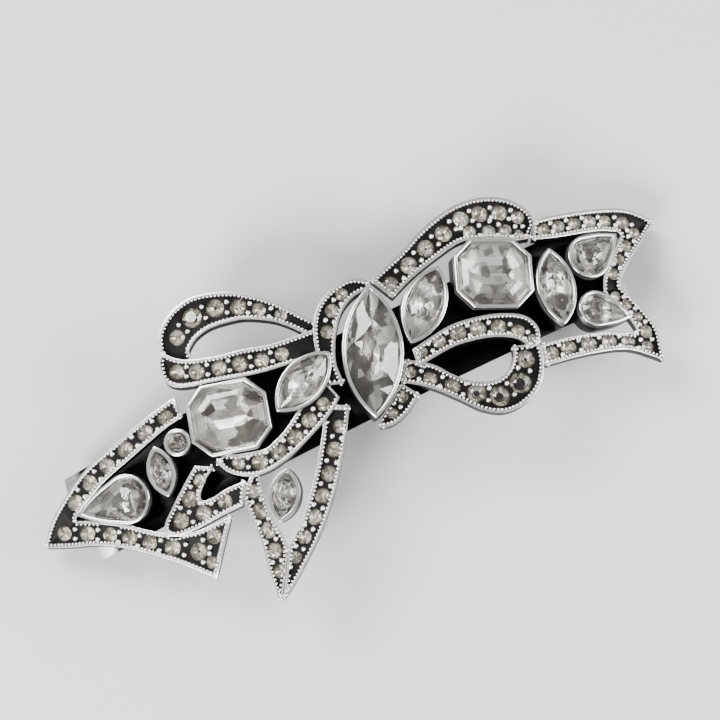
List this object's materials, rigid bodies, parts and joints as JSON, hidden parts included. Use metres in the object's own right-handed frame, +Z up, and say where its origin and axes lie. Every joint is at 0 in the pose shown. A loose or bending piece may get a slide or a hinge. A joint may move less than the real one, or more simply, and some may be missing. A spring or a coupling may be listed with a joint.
{
  "type": "hair clip",
  "caption": "Arched bow-shaped hair clip: bead-edged ribbons set with clear stones and large bezel-set stones, on a sprung French barrette clasp.",
  "frame": {"origin": "on the clasp arm's flat underside, in the middle of the back plate's length and width, with the clip closed", "axes": "+X along the clip towards the arm's hinge, +Y across it towards the loops' tops, +Z up out of the bow's face"},
  "size_m": [0.0934, 0.0406, 0.0173],
  "materials": {
    "antique_silver": "oxidised antique silver plate, bright on the rims and black in the recesses",
    "bezel_silver": "worn bright silver plate",
    "barrette_steel": "plain nickel-plated steel strip",
    "spring_steel": "springy bright steel strip",
    "large_crystal": "clear cut glass with a silvered back",
    "small_crystal": "small clear cut glass with a silvered back"
  },
  "bodies": {
    "clasp_arm": {"clasp_arm": "barrette_steel"},
    "bow_and_plate": {"back_plate": "barrette_steel", "bar_keepers": "barrette_steel", "hinge_pin": "barrette_steel", "catch_base": "barrette_steel", "catch_rivet": "barrette_steel", "bow_rivets": "barrette_steel", "left_loop_back_ribbon": "antique_silver", "left_loop_front_ribbon": "antique_silver", "left_loop_lower_ribbon": "antique_silver", "left_tail_upper_band": "antique_silver", "left_tail_lower_band": "antique_silver", "left_tail_fold": "antique_silver", "lower_tail_left_band": "antique_silver", "lower_tail_right_band": "antique_silver", "knot_collar_left": "antique_silver", "knot_collar_right": "antique_silver", "right_loop_upper_ribbon": "antique_silver", "right_loop_near_ribbon": "antique_silver", "right_loop_ring": "antique_silver", "right_tail_upper_band": "antique_silver", "right_tail_notch_upper": "antique_silver", "right_tail_notch_lower": "antique_silver", "right_tail_lower_band": "antique_silver", "centre_bezel": "bezel_silver", "left_octagon_bezel": "bezel_silver", "right_octagon_bezel": "bezel_silver", "left_marquise_bezel": "bezel_silver", "right_inner_marquise_bezel": "bezel_silver", "right_outer_marquise_bezel": "bezel_silver", "left_pear_bezel": "bezel_silver", "upper_pear_bezel": "bezel_silver", "lower_pear_bezel": "bezel_silver", "small_marquise_bezel": "bezel_silver", "drop_marquise_bezel": "bezel_silver", "round_bezel": "bezel_silver", "centre_stone": "large_crystal", "left_octagon_stone": "large_crystal", "right_octagon_stone": "large_crystal", "left_marquise_stone": "large_crystal", "right_inner_marquise_stone": "large_crystal", "right_outer_marquise_stone": "large_crystal", "left_pear_stone": "large_crystal", "upper_pear_stone": "large_crystal", "lower_pear_stone": "large_crystal", "small_marquise_stone": "large_crystal", "drop_marquise_stone": "large_crystal", "round_stone": "large_crystal", "left_loop_stones": "small_crystal", "left_tail_stones": "small_crystal", "lower_tail_stones": "small_crystal", "knot_stones": "small_crystal", "right_loop_stones": "small_crystal", "right_tail_stones": "small_crystal", "tension_bar": "spring_steel"},
    "catch_prong_front": {"catch_prong_front": "spring_steel"},
    "catch_prong_rear": {"catch_prong_rear": "spring_steel"}
  },
  "joints": [
    {"name": "arm_hinge", "type": "hinge", "parent": "clasp_arm", "child": "bow_and_plate", "pos_m": [0.0385, 0, 0.0016], "axis": [0, 1, 0], "range_deg": [0, 75], "deforming": ["tension_bar"]},
    {"name": "front_prong_squeeze", "type": "hinge", "parent": "bow_and_plate", "child": "catch_prong_front", "pos_m": [-0.0358, -0.0027, 0.0044], "axis": [1, 0, 0], "range_deg": [0, 10], "stiffness_Nm_per_rad": 0.03},
    {"name": "rear_prong_squeeze", "type": "hinge", "parent": "bow_and_plate", "child": "catch_prong_rear", "pos_m": [-0.0358, 0.0027, 0.0044], "axis": [-1, 0, 0], "range_deg": [0, 10], "stiffness_Nm_per_rad": 0.03}
  ]
}
